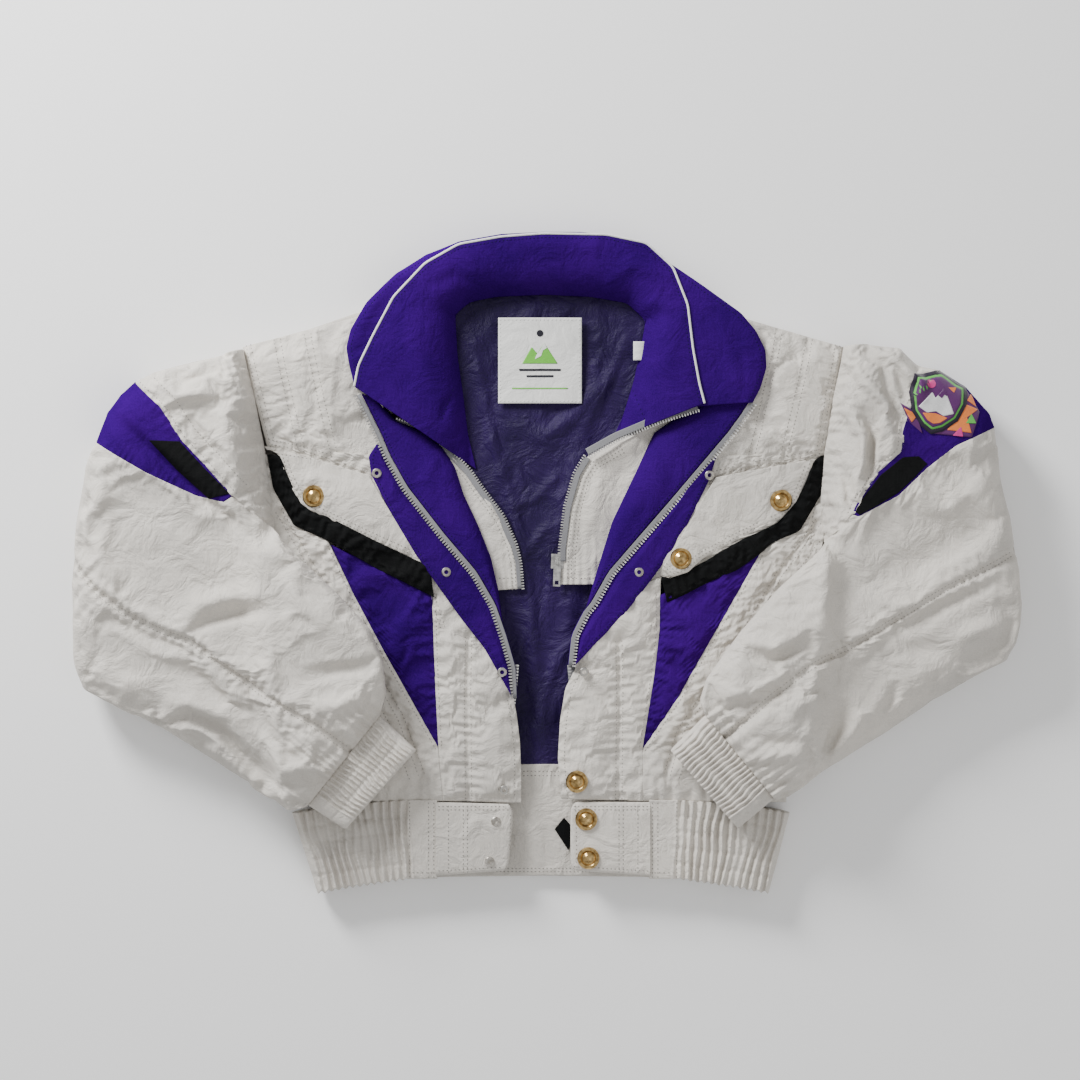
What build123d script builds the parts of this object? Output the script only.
"""Insulated ski jacket, laid on its back with the front open and both sleeves folded over it.

Millimetres, +Z up. The origin is on the resting face, X runs to the wearer's left and Y to the collar.
Plan points are written for the wearer's left (+X) half, and the right half mirrors them.
"""

import os
from math import atan2, cos, degrees, hypot, radians, sin

from build123d import *

# ---- fabric layers, from the resting face upwards ----
shell = 1.5
padding = 7.0
lining = 1.0
body_gap = 9.0  # free height between the back and the front
ply = 2.5  # a flap of two shell layers and interlining
seat = 0.3  # gap under a piece that lies loose on another
seam = 0.5  # gap between two pieces side by side that move apart
hinge_gap = 1.5  # gap between the zip's teeth and the storm flap's fold
wall = 3.0  # side and shoulder seams, which join the front to the back

back_top = shell + padding + lining
front_bottom = back_top + body_gap
front_pad_z = front_bottom + lining
front_shell_z = front_pad_z + padding
front_top = front_shell_z + shell

# ---- body sizes ----
half_shoulder = 286.0
shoulder_y = 204.0
collar_x = 185.0  # where the shoulder seam meets the collar
collar_y = 238.0
half_chest = 268.0
armpit_y = 22.0
yoke_y = 105.0
half_waist = 231.0
waist_y = -225.0
band_height = 75.0
hem_corner_x = 214.0
hem_corner_drop = 13.0
back_neck_y = 256.0

# ---- front edge and zip ----
zip_top = (196.0, 152.0)
zip_neck = (156.0, 112.0)
zip_turn = (38.0, -52.0)
zip_low = (29.0, -95.0)
zip_foot = (38.0, waist_y + 5)
body_edge_x = 45.0  # inner edge of the padded front
placket_seam_x = 72.0
placket_edge_x = 18.0
tape_show = 4.0
tape_width = 18.0
tape = 1.0
tooth_wide = 3.4
tooth_tall = 3.4
tooth_long = 1.9
tooth_pitch = 3.3
tooth_gap = 0.2

# ---- sliders and pulls ----
slider_long = 14.0
slider_wide = 12.0
slider_tall = 6.6
slider_post = 2.4
channel_play = 0.35
bail_wide = 2.0
bail_long = 6.0
bail_tall = 2.0
bail_thick = 0.8
pin_r = 0.7
pull_arm = 1.2
pull_wide = 7.0
pull_long = 24.0
pull_window = 3.6

# ---- sleeve ----
sleeve_wall = 8.0
sleeve_top = 72.0
cap_top = 56.0
cuff_top = 54.0
cuff_wall = 6.0
cuff_cavity_z = 4.0

# ---- collar ----
collar_ply = 5.5
collar_height = 58.0

# ---- snaps ----
cap_r = 10.5
cap_tall = 3.6
stud_r = 4.5
stud_tall = 2.0
post_r = 2.0

os.makedirs("parts", exist_ok=True)
SIDES = (("right", -1), ("left", 1))


def hand(points, side):
    """The same points on the wearer's left (side 1) or right (side -1)."""
    return [(side * x, y) for x, y in points]


def both(points):
    """A closed outline across the middle from its left half, listed from the middle and back to it."""
    return points + [(-x, y) for x, y in reversed(points) if abs(x) > 1e-6]


def along(a, b, distance):
    """The point at a distance from a towards b."""
    share = distance / hypot(b[0] - a[0], b[1] - a[1])
    return (a[0] + (b[0] - a[0]) * share, a[1] + (b[1] - a[1]) * share)


def beside(a, b, distance):
    """Points a and b moved sideways, to the right of the way from a to b."""
    run = hypot(b[0] - a[0], b[1] - a[1])
    nx, ny = (b[1] - a[1]) / run * distance, -(b[0] - a[0]) / run * distance
    return (a[0] + nx, a[1] + ny), (b[0] + nx, b[1] + ny)


def at_x(a, b, x):
    """The point of line a-b at an x."""
    return (x, a[1] + (b[1] - a[1]) * (x - a[0]) / (b[0] - a[0]))


def at_y(a, b, y):
    """The point of line a-b at a y."""
    return (a[0] + (b[0] - a[0]) * (y - a[1]) / (b[1] - a[1]), y)


def prism(points, z, height, mode=Mode.ADD, corner=0):
    """One straight-sided layer of an outline, added to or cut from the open part, its corners rounded."""
    with BuildSketch(Plane.XY.offset(z)) as plan:
        with BuildLine():
            Polyline(*points, close=True)
        make_face()
        if corner:
            fillet(plan.vertices(), corner)
    extrude(plan.sketch, amount=height, mode=mode)


def panel(name, points, z, height, corner=0):
    """A flat fabric piece in a node of its own."""
    with BuildPart() as piece:
        prism(points, z, height, corner=corner)
    save(name, piece)
    return piece


def save(name, piece):
    piece.part.label = name
    export_step(piece.part, f"parts/{name}.step")


# ---- shared plan lines, wearer's left ----
shoulder_tip = (half_shoulder, shoulder_y)
shoulder_neck = (collar_x, collar_y)
neck_side = (zip_top[0] - 20, zip_top[1] + 14)
yoke_out = (half_chest, yoke_y)
armpit = (half_chest, armpit_y)
side_foot = (half_waist, waist_y)
zip_inner_foot = (body_edge_x, waist_y)
yoke_in = at_y(zip_neck, zip_turn, yoke_y - 25)
back_tip = at_y((half_shoulder, shoulder_y), yoke_out, shoulder_y - wall)
body_turn = (body_edge_x, zip_turn[1])
wedge_top = (204.0, 15.5)
wedge_in = (119.0, -30.0)
wedge_tip = (98.0, waist_y + 52)
wedge_foot = (98.0, waist_y)
stripe_corner = (half_chest - 27, 35.0)
stripe_side = (half_chest - 4, 72.0)
stripe_hidden = [(115.0, 0.0), (half_chest - 43, 55.0), (half_chest - 18, 100.0)]


def lowered(point, amount):
    return (point[0], point[1] - amount)


def shifted(point, amount):
    return (point[0] + amount, point[1])


# ---- back: shell, padding and lining, one on the other ----
back_half = [
    (0, back_neck_y),
    (100, back_neck_y - 6),
    lowered(shoulder_neck, wall),
    back_tip,
    yoke_out,
    shifted(armpit, -wall),
    shifted(side_foot, -wall),
    (0, waist_y),
]
back_outline = both(back_half)
panel("back_shell", back_outline, 0, shell)
panel("back_padding", back_outline, shell, padding)
panel("back_lining", back_outline, shell + padding, lining)

# ---- waistband: smooth back with its inner facing, and gathered elastic round each side ----
hem_y = waist_y - band_height
band_back_x = 120.0
tab_seam_x = 101.0
facing_rise = 28.0
with BuildPart() as waistband_back:
    prism(both([(0, waist_y), (band_back_x, waist_y), (band_back_x, hem_y), (0, hem_y)]), 0, back_top)
    facing = both([(0, waist_y + facing_rise), (band_back_x, waist_y + facing_rise),
                   (band_back_x, hem_y), (0, hem_y)])
    prism(facing, back_top, lining)
save("waistband_back", waistband_back)

hem_corner = (hem_corner_x, hem_y - hem_corner_drop)
hem_bend = (band_back_x + 20, hem_y - 4)
for name, side in SIDES:
    lower = hand([(band_back_x, waist_y), side_foot, hem_corner, hem_bend, (band_back_x, hem_y)], side)
    upper = hand([(tab_seam_x, waist_y), side_foot, hem_corner, hem_bend, (tab_seam_x, hem_y)], side)
    edge = hand([side_foot, hem_corner, shifted(hem_corner, -padding), shifted(side_foot, -padding)], side)
    with BuildPart() as waistband:
        prism(lower, 0, back_top)
        prism(upper, front_bottom, front_top - front_bottom)
        prism(edge, 0, front_top)
    save(f"waistband_{name}", waistband)

# ---- front: lining, padding and the shell panels pieced side by side ----
front_core = [
    back_tip,
    lowered(shoulder_neck, wall),
    neck_side,
    zip_top,
    zip_neck,
    zip_turn,
    (body_edge_x, zip_turn[1] - 12),
    zip_inner_foot,
    shifted(side_foot, -wall),
    shifted(armpit, -wall),
    yoke_out,
]
chain_out = tooth_gap + tooth_wide
storm_axis = beside(zip_turn, zip_neck, chain_out + hinge_gap)
low_side = beside(zip_low, zip_turn, chain_out + seam)
storm_outer = [(164.0, 106.0), (163.0, 84.0), (140.0, 48.0), (116.0, 6.0), (92.0, -32.0), (64.0, -64.0)]
placket_top = (placket_seam_x, storm_outer[-1][1])
for name, side in SIDES:
    panel(f"front_lining_{name}", hand(front_core, side), front_bottom, lining)
    panel(f"front_padding_{name}", hand(front_core, side), front_pad_z, padding)

    yoke = [shoulder_tip, shoulder_neck, neck_side, zip_top, zip_neck, yoke_in, yoke_out]
    shoulder_seam = [shoulder_tip, shoulder_neck, lowered(shoulder_neck, wall), back_tip]
    with BuildPart() as shoulder_yoke:
        prism(hand(yoke, side), front_shell_z, shell)
        prism(hand(shoulder_seam, side), 0, front_top)
    save(f"shoulder_yoke_{name}", shoulder_yoke)

    stripe = [yoke_out, stripe_side, stripe_corner, wedge_top, wedge_in] + stripe_hidden
    panel(f"front_stripe_{name}", hand(stripe, side), front_shell_z, shell)
    panel(f"front_wedge_{name}", hand([wedge_top, wedge_in, wedge_tip], side), front_shell_z, shell)

    side_plan = [yoke_out, armpit, side_foot, wedge_foot, wedge_tip, wedge_top, stripe_corner, stripe_side]
    side_seam = [armpit, side_foot, shifted(side_foot, -wall), shifted(armpit, -wall)]
    with BuildPart() as side_panel:
        prism(hand(side_plan, side), front_shell_z, shell)
        prism(hand(side_seam, side), 0, front_top)
    save(f"side_panel_{name}", side_panel)

    front_plan = [yoke_out, yoke_in, zip_turn, front_core[6], zip_inner_foot, wedge_foot, wedge_tip, wedge_in]
    placket = [
        (placket_seam_x, waist_y - 2),
        placket_top,
        lowered(storm_outer[-1], 2 * seam),
        lowered(storm_axis[0], 2 * seam),
        lowered(low_side[0], seam),
        lowered(zip_low, 2 * tape),
        (placket_edge_x + 2, -135.0),
        (placket_edge_x, -170.0),
        (placket_edge_x, waist_y + 10),
        (placket_edge_x + 9, waist_y - 2),
    ]
    with BuildPart() as front_panel:
        prism(hand(front_plan + stripe_hidden, side), front_shell_z, shell)
        prism(hand(placket, side), front_top, ply)
    save(f"front_panel_{name}", front_panel)

# ---- facing inside the front edge, and the inner bib below it ----
tape_z = front_top + (tooth_tall - tape) / 2
bib_z = back_top + 4
bib = 1.5
facing_z = bib_z + bib
facing_foot = at_y(zip_low, zip_turn, zip_low[1] + 2 * tape)
front_facing = [zip_neck, zip_turn, facing_foot, shifted(facing_foot, -tape_show), (32.0, -22.0), (56.0, 35.0),
                (75.0, 85.0), (105.0, 128.0)]
bib_plan = {
    "right": [(110.0, 120.0), (80.0, 94.0), (58.0, 70.0), (39.0, 48.0), (27.5, 18.0), (22.0, -24.0), (60.0, -24.0)],
    "left": [(110.0, 120.0), (52.0, 112.0), (30.0, 95.0), (21.0, 67.0), (18.0, -20.0), (60.0, -20.0)],
}
for name, side in SIDES:
    panel(f"front_facing_{name}", hand(front_facing, side), facing_z, tape_z - facing_z)
    panel(f"inner_bib_{name}", hand(bib_plan[name], side), bib_z, bib)


# ---- zips: tape, and metal teeth along its edge ----
def tooth_places(path, side, inward, z, pitch=tooth_pitch):
    """Places along each straight run, half a pitch in from its ends, beside the tape's edge."""
    places = []
    for a, b in zip(path, path[1:]):
        count = int(hypot(b[0] - a[0], b[1] - a[1]) / pitch)
        start, end = beside(a, b, inward)
        angle = degrees(atan2(b[1] - a[1], side * (b[0] - a[0])))
        for i in range(count):
            x, y = along(start, end, (i + 0.5) * pitch)
            places.append(Location((side * x, y, z), (0, 0, angle)))
    return places


chain_middle = tooth_gap + tooth_wide / 2
low_tape_z = front_bottom - tape
main_path = [zip_top, zip_neck, zip_turn, zip_low]
low_path = [zip_low, zip_foot]
stop_long = 6.0
for name, side in SIDES:
    sewn = [beside(a, b, tape_show) for a, b in zip(main_path, main_path[1:])]
    strip = main_path + [sewn[2][1], sewn[2][0], sewn[1][1], sewn[1][0], sewn[0][0]]
    low_edge = beside(low_path[1], low_path[0], tape_width)
    riser = [lowered(shifted(zip_low, -tape_show), -tape), zip_low, shifted(zip_low, tape),
             lowered(shifted(zip_low, tape), tape), lowered(shifted(zip_low, -tape_show), tape)]
    with BuildPart() as main_tape:
        prism(hand(strip, side), tape_z, tape)
        prism(hand([zip_low, zip_foot, low_edge[0], low_edge[1]], side), low_tape_z, tape)
        prism(hand(riser, side), low_tape_z, tape_z + tape - low_tape_z)
    save(f"main_zip_tape_{name}", main_tape)

    with BuildPart() as main_teeth:
        with Locations(*tooth_places(main_path, side, -chain_middle, tape_z + tape / 2)):
            Box(tooth_long, tooth_wide, tooth_tall)
        low_run = [along(low_path[0], low_path[1], tooth_pitch), along(low_path[1], low_path[0], stop_long)]
        with Locations(*tooth_places(low_run, side,
                                     chain_middle, low_tape_z + tape / 2)):
            Box(tooth_long, tooth_wide, tooth_tall)
        foot = along(low_path[1], low_path[0], stop_long / 2)
        with Locations((side * (foot[0] - chain_middle), foot[1], low_tape_z + tape / 2)):
            Box(tooth_wide, stop_long - 1, tooth_tall)
    save(f"main_zip_teeth_{name}", main_teeth)

    inner_path = bib_plan[name][1:-1]
    with BuildPart() as inner_teeth:
        with Locations(*tooth_places(inner_path, side, chain_middle, bib_z + bib / 2)):
            Box(tooth_long, tooth_wide, tooth_tall)
    save(f"inner_zip_teeth_{name}", inner_teeth)


# ---- slider and pull, built at the origin along +Y and then placed on a chain ----
def slider_on(name, foot, head, start, z, tape_tall):
    """A slider round the left chain foot-head, start from its foot, and its pull lying towards the foot."""
    side_x = slider_post / 2 + channel_play + tooth_wide / 2
    channel = tooth_wide + 2 * channel_play
    with BuildPart() as slider:
        Box(slider_wide, slider_long, slider_tall)
        for s in (-1, 1):
            with Locations((s * side_x, 0, 0)):
                Box(channel, slider_long, tooth_tall + 2 * channel_play, mode=Mode.SUBTRACT)
            with Locations((s * slider_wide / 2, 0, 0)):
                Box(slider_wide / 2, slider_long, tape_tall + 2 * channel_play, mode=Mode.SUBTRACT)
        with Locations((0, 0, slider_tall / 2 + (bail_tall + bail_thick) / 2)):
            Box(bail_wide, bail_long, bail_tall + bail_thick)
        with Locations((0, 0, slider_tall / 2 + bail_tall / 2)):
            Box(bail_wide, bail_long - 2 * bail_thick, bail_tall, mode=Mode.SUBTRACT)
    bar_z = slider_tall / 2 + bail_tall / 2
    inner_reach = bail_long / 2 + 0.6
    arm_x = bail_wide / 2 + 0.4 + pull_arm / 2
    with BuildPart() as pull:
        with Locations(Location((0, 0, bar_z), (0, 90, 0))):
            Cylinder(pin_r, 2 * arm_x)
        for s in (-1, 1):
            with Locations((s * arm_x, -inner_reach / 2, bar_z)):
                Box(pull_arm, inner_reach + pull_arm, pull_arm)
        with Locations((0, -(inner_reach + pull_long) / 2, bar_z)):
            Box(pull_wide, pull_long - inner_reach, pull_arm)
        with Locations((0, -pull_long + pull_window, bar_z)):
            Box(pull_window, pull_window, pull_arm, mode=Mode.SUBTRACT)
    angle = degrees(atan2(head[1] - foot[1], head[0] - foot[0])) - 90
    x, y = along(foot, head, start)
    shift = tooth_gap + tooth_wide / 2 + side_x
    a = radians(angle)
    place = Location((x - shift * cos(a), y - shift * sin(a), z), (0, 0, angle))
    for part, kind in ((slider, "slider"), (pull, "pull")):
        with BuildPart() as placed:
            with Locations(place):
                add(part.part)
        save(f"{name}_{kind}", placed)
    return place.position, bar_z + z, angle


slider_start = 24.0
inner_slider_start = 22.0
main_place = slider_on("main_zip", zip_foot, zip_low, slider_start, low_tape_z + tape / 2, tape)
inner_foot, inner_head = bib_plan["left"][4], bib_plan["left"][3]
inner_place = slider_on("inner_zip", inner_foot, inner_head, inner_slider_start, bib_z + bib / 2, bib)
print("main slider at", main_place)
print("inner slider at", inner_place)
print("storm flap fold", storm_axis)

# ---- collars: the outer one spread over the shoulders, the inner one lying on it ----
collar_top_y = back_neck_y + collar_height
outer_z = front_top + seat
inner_z = outer_z + collar_ply + seat
outer_rim = [(0, collar_top_y), (92.0, collar_top_y - 9), (135.0, collar_top_y - 36), (collar_x - 3, collar_y + 3),
             (collar_x + 23, collar_y - 31), (collar_x + 24, collar_y - 66)]
collar_edge = beside(zip_top, zip_neck, tape_show + seam)
neck_line = (back_half[0], at_x(back_half[0], back_half[1], 70.0))
outer_neck = [collar_edge[0], collar_edge[1], (140.0, 150.0), (125.0, 190.0), (105.0, back_neck_y - 21),
              lowered(neck_line[1], -1), neck_line[0]]
stand = both([lowered(neck_line[0], -8), lowered(neck_line[1], -8), neck_line[1], neck_line[0]])
with BuildPart() as outer_collar:
    prism(both(outer_rim + outer_neck), outer_z, collar_ply)
    prism(stand, 0, outer_z + collar_ply)
save("outer_collar", outer_collar)

inner_rim = [(0, collar_top_y - 3), (90.0, collar_top_y - 10), (115.0, collar_top_y - 27), (140.0, 245.0),
             (152.0, 203.0), (156.0, 160.0), (150.0, 146.0), (98.0, 131.0)]
inner_neck = [(82.0, 150.0), (88.0, 200.0), (100.0, back_neck_y - 18), (50.0, back_neck_y - 3),
              (0, back_neck_y - 2)]
with BuildPart() as inner_collar:
    prism(both(inner_rim + inner_neck), inner_z, collar_ply)
save("inner_collar", inner_collar)

# ---- small pieces on the body ----
label_size = (80.0, 82.0)
label_low = (-43.0, 153.0)
label_plan = [label_low, (label_low[0] + label_size[0], label_low[1]),
              (label_low[0] + label_size[0], label_low[1] + label_size[1]), (label_low[0], label_low[1] + label_size[1])]
panel("neck_label", label_plan, back_top, 0.6, corner=2)
tongue_y = hem_y + 42
panel("hem_tongue", [(12.0, tongue_y), (20.0, tongue_y + 11), (60.0, tongue_y + 11), (60.0, tongue_y - 20),
                     (30.0, tongue_y - 20)], back_top + lining + seat, 1.5)


# ---- snap fasteners: a dished cap with its post, and a small ring stud ----
def revolved(profile):
    with BuildPart() as turned:
        with BuildSketch(Plane.XZ) as half:
            with BuildLine():
                Polyline(*profile, close=True)
            make_face()
        revolve(half.sketch, axis=Axis.Z)
    return turned.part


cap = revolved([(0, 0), (cap_r, 0), (cap_r, 1.0), (cap_r - 1, 2.4), (cap_r - 3, 2.4), (cap_r - 4.3, 1.2),
                (3.0, cap_tall - 0.4), (0, cap_tall)])
stud = revolved([(post_r, 0), (stud_r, 0), (stud_r, 1.2), (stud_r - 0.8, stud_tall), (post_r, stud_tall)])


def snap_group(name, shapes):
    with BuildPart() as group:
        for shape, x, y, z in shapes:
            with Locations((x, y, z)):
                add(shape)
    save(name, group)


flap_z = front_top + seat
flap_top = flap_z + ply
placket_face = front_top + ply
snap_group("front_snaps", [(cap, 32.0, waist_y + 18, placket_face), (stud, -37.0, waist_y + 10, placket_face),
                           (stud, 39.0, -103.0, placket_face), (stud, -39.0, -103.0, placket_face)])

# ---- chest flaps, storm flaps and waist tabs, each hinged along its seam ----
flap_hinge = (at_x(yoke_in, yoke_out, half_chest - 6), at_x(yoke_in, yoke_out, 170.0))
flap_clear = 1.0
chest_plan = [
    flap_hinge[0],
    (half_chest - 14, 88.0),
    (half_chest - 26, 62.0),
    (half_chest - 37, 49.0),
    (180.0, 23.0),
    (140.0, -4.0),
    (storm_outer[3][0] + 8, -11.0),
    (storm_outer[3][0] + flap_clear + 1, 6.0),
    (storm_outer[2][0] + flap_clear + 1, 48.0),
    flap_hinge[1],
]
storm_plan = [storm_axis[1]] + storm_outer + [storm_axis[0]]
tab_z = front_bottom + 2.5
tab_plan = [(tab_seam_x - seat, waist_y - 3), (28.0, waist_y - 3), (26.0, waist_y - 8), (29.0, hem_y + 10),
            (38.0, hem_y + 4), (tab_seam_x - seat, hem_y + 4)]
cap_places = {"right": [(218.0, 64.0)], "left": [(226.0, 60.0), (131.0, 5.0)]}
storm_places = {"right": [(158.0, 86.0), (92.0, -8.0)], "left": [(158.0, 84.0), (91.0, -8.0)]}
tab_places = {"right": [(45.0, waist_y - 20), (51.0, waist_y - 58)], "left": [(41.0, waist_y - 18), (43.0, waist_y - 55)]}
for name, side in SIDES:
    panel(f"chest_flap_{name}", hand(chest_plan, side), flap_z, ply, corner=5)
    snap_group(f"chest_snaps_{name}", [(cap, side * x, y, flap_top) for x, y in cap_places[name]])
    panel(f"storm_flap_{name}", hand(storm_plan, side), flap_z, ply, corner=2)
    snap_group(f"storm_snaps_{name}", [(stud, side * x, y, flap_top) for x, y in storm_places[name]])
    panel(f"waist_tab_{name}", hand(tab_plan, side), tab_z, front_top - tab_z, corner=2)
    shape = cap if name == "left" else stud
    snap_group(f"tab_snaps_{name}", [(shape, side * x, y, front_top) for x, y in tab_places[name]])


# ---- sleeves: cap and stripe sewn to the armhole, then the arm folded across the front ----
def from_armpit(points):
    return [(armpit[0] + dx, armpit[1] + dy) for dx, dy in points]


arm_out = from_armpit([(158.0, 104.0)])[0]
stripe_up = from_armpit([(107.0, 157.0)])[0]
stripe_low = along(armpit, stripe_up, 52.0)
stripe_end = along(armpit, arm_out, 60.0)
cap_rim = [shoulder_tip, from_armpit([(72.0, 164.0)])[0], stripe_up]
stripe_rim = [stripe_up, from_armpit([(124.0, 149.0)])[0], from_armpit([(148.0, 124.0)])[0], arm_out]


def rim_of(points, thickness, seam_end):
    """A strip inside a run of outline points, towards the armpit, whose first point moves along its seam."""
    inside = [along(p, armpit, thickness) for p in reversed(points[1:])]
    return points + inside + [along(points[0], seam_end, thickness)]


def arm_tube(outline, rim, side, top, seam_end=armpit):
    """Upper wall, lower wall and outer edge of a stretch of sleeve that is open at both ends."""
    prism(hand(outline, side), top - sleeve_wall, sleeve_wall)
    prism(hand(outline, side), 0, sleeve_wall)
    prism(hand(rim_of(rim, sleeve_wall, seam_end), side), 0, top)


body_side = [shifted(armpit, seam), shifted(side_foot, seam), (half_waist + seam, hem_y - 60), (-10, hem_y - 60),
             (-10, armpit_y - 1), (half_chest, armpit_y - 1)]
arm_plan = [armpit] + [arm_out] + from_armpit([(168.0, 38.0), (182.0, -95.0), (174.0, -142.0), (153.0, -166.0),
                                               (77.0, -199.0), (10.0, -237.0), (-50.0, -243.0), (-115.0, -165.0),
                                               (-121.0, -142.0), (-108.0, -109.0), (-75.0, -66.0), (-37.0, -23.0)])
cuff_plan = from_armpit([(-50.0, -243.0), (-82.0, -272.0), (-146.0, -199.0), (-115.0, -165.0)])
over_z = front_top + seat
swing_clear = 0.8
for name, side in SIDES:
    armhole_line = [shifted(shoulder_tip, seam), shifted(yoke_out, seam), shifted(armpit, seam)]
    cap_plan = [armhole_line[0]] + cap_rim[1:] + [stripe_low, stripe_end, armhole_line[2], armhole_line[1]]
    with BuildPart() as sleeve_cap:
        arm_tube(cap_plan, [armhole_line[0]] + cap_rim[1:], side, cap_top, armhole_line[1])
    save(f"sleeve_cap_{name}", sleeve_cap)
    with BuildPart() as sleeve_stripe:
        arm_tube(stripe_rim + [stripe_end, stripe_low], stripe_rim, side, cap_top)
    save(f"sleeve_stripe_{name}", sleeve_stripe)

    # the moving arm stands a little off the cap, and its low part is cut back from the body's side
    pivot_gap = beside(arm_plan[1], arm_plan[0], -swing_clear)
    arm = [pivot_gap[1], pivot_gap[0]] + arm_plan[2:]
    with BuildPart() as sleeve:
        prism(hand(arm, side), 0, sleeve_top)
        prism(hand(body_side, side), 0, over_z, mode=Mode.SUBTRACT)
        with BuildSketch(Plane.XY.offset(over_z + sleeve_wall)):
            with BuildLine():
                Polyline(*hand(arm, side), close=True)
            make_face()
            offset(amount=-sleeve_wall, mode=Mode.REPLACE)
        extrude(amount=sleeve_top - over_z - 2 * sleeve_wall, mode=Mode.SUBTRACT)
        low_arm = [shifted(armpit, 2 * sleeve_wall), along(arm_out, armpit, sleeve_wall)] + [
            along(p, armpit, sleeve_wall) for p in arm_plan[2:8]] + [shifted(side_foot, sleeve_wall + seam)]
        prism(hand(low_arm, side), sleeve_wall, over_z, mode=Mode.SUBTRACT)
        for a, b, low in ((arm_plan[1], arm_plan[0], sleeve_wall), (arm_plan[8], arm_plan[9], over_z + cuff_wall)):
            near, far = along(a, b, 2 * sleeve_wall), along(b, a, 2 * sleeve_wall)
            out = beside(near, far, 2 * sleeve_wall)
            back = beside(near, far, -2 * sleeve_wall)
            height = (sleeve_top if low == sleeve_wall else cuff_top) - cuff_wall - low
            if low == sleeve_wall:
                height = sleeve_top - 2 * sleeve_wall
            prism(hand([out[0], out[1], back[1], back[0]], side), low, height, mode=Mode.SUBTRACT)
    save(f"sleeve_{name}", sleeve)

    with BuildPart() as cuff:
        prism(hand(cuff_plan, side), over_z, cuff_top - over_z)
        inner_ends = [along(cuff_plan[0], cuff_plan[3], cuff_wall), along(cuff_plan[1], cuff_plan[2], cuff_wall),
                      along(cuff_plan[2], cuff_plan[1], cuff_wall), along(cuff_plan[3], cuff_plan[0], cuff_wall)]
        long = [along(inner_ends[1], inner_ends[0], -cuff_wall), along(inner_ends[2], inner_ends[3], -cuff_wall),
                along(inner_ends[3], inner_ends[2], -cuff_wall), along(inner_ends[0], inner_ends[1], -cuff_wall)]
        prism(hand(long, side), over_z + cuff_wall, cuff_top - over_z - 2 * cuff_wall, mode=Mode.SUBTRACT)
    save(f"cuff_{name}", cuff)

# ---- embroidered patch on the left stripe ----
patch_low = from_armpit([(78.0, 78.0)])[0]
panel("emblem_patch", [patch_low, shifted(patch_low, 34), (patch_low[0] + 52, patch_low[1] + 30),
                       (patch_low[0] + 30, patch_low[1] + 56), (patch_low[0] + 8, patch_low[1] + 50)], cap_top, 1.2)
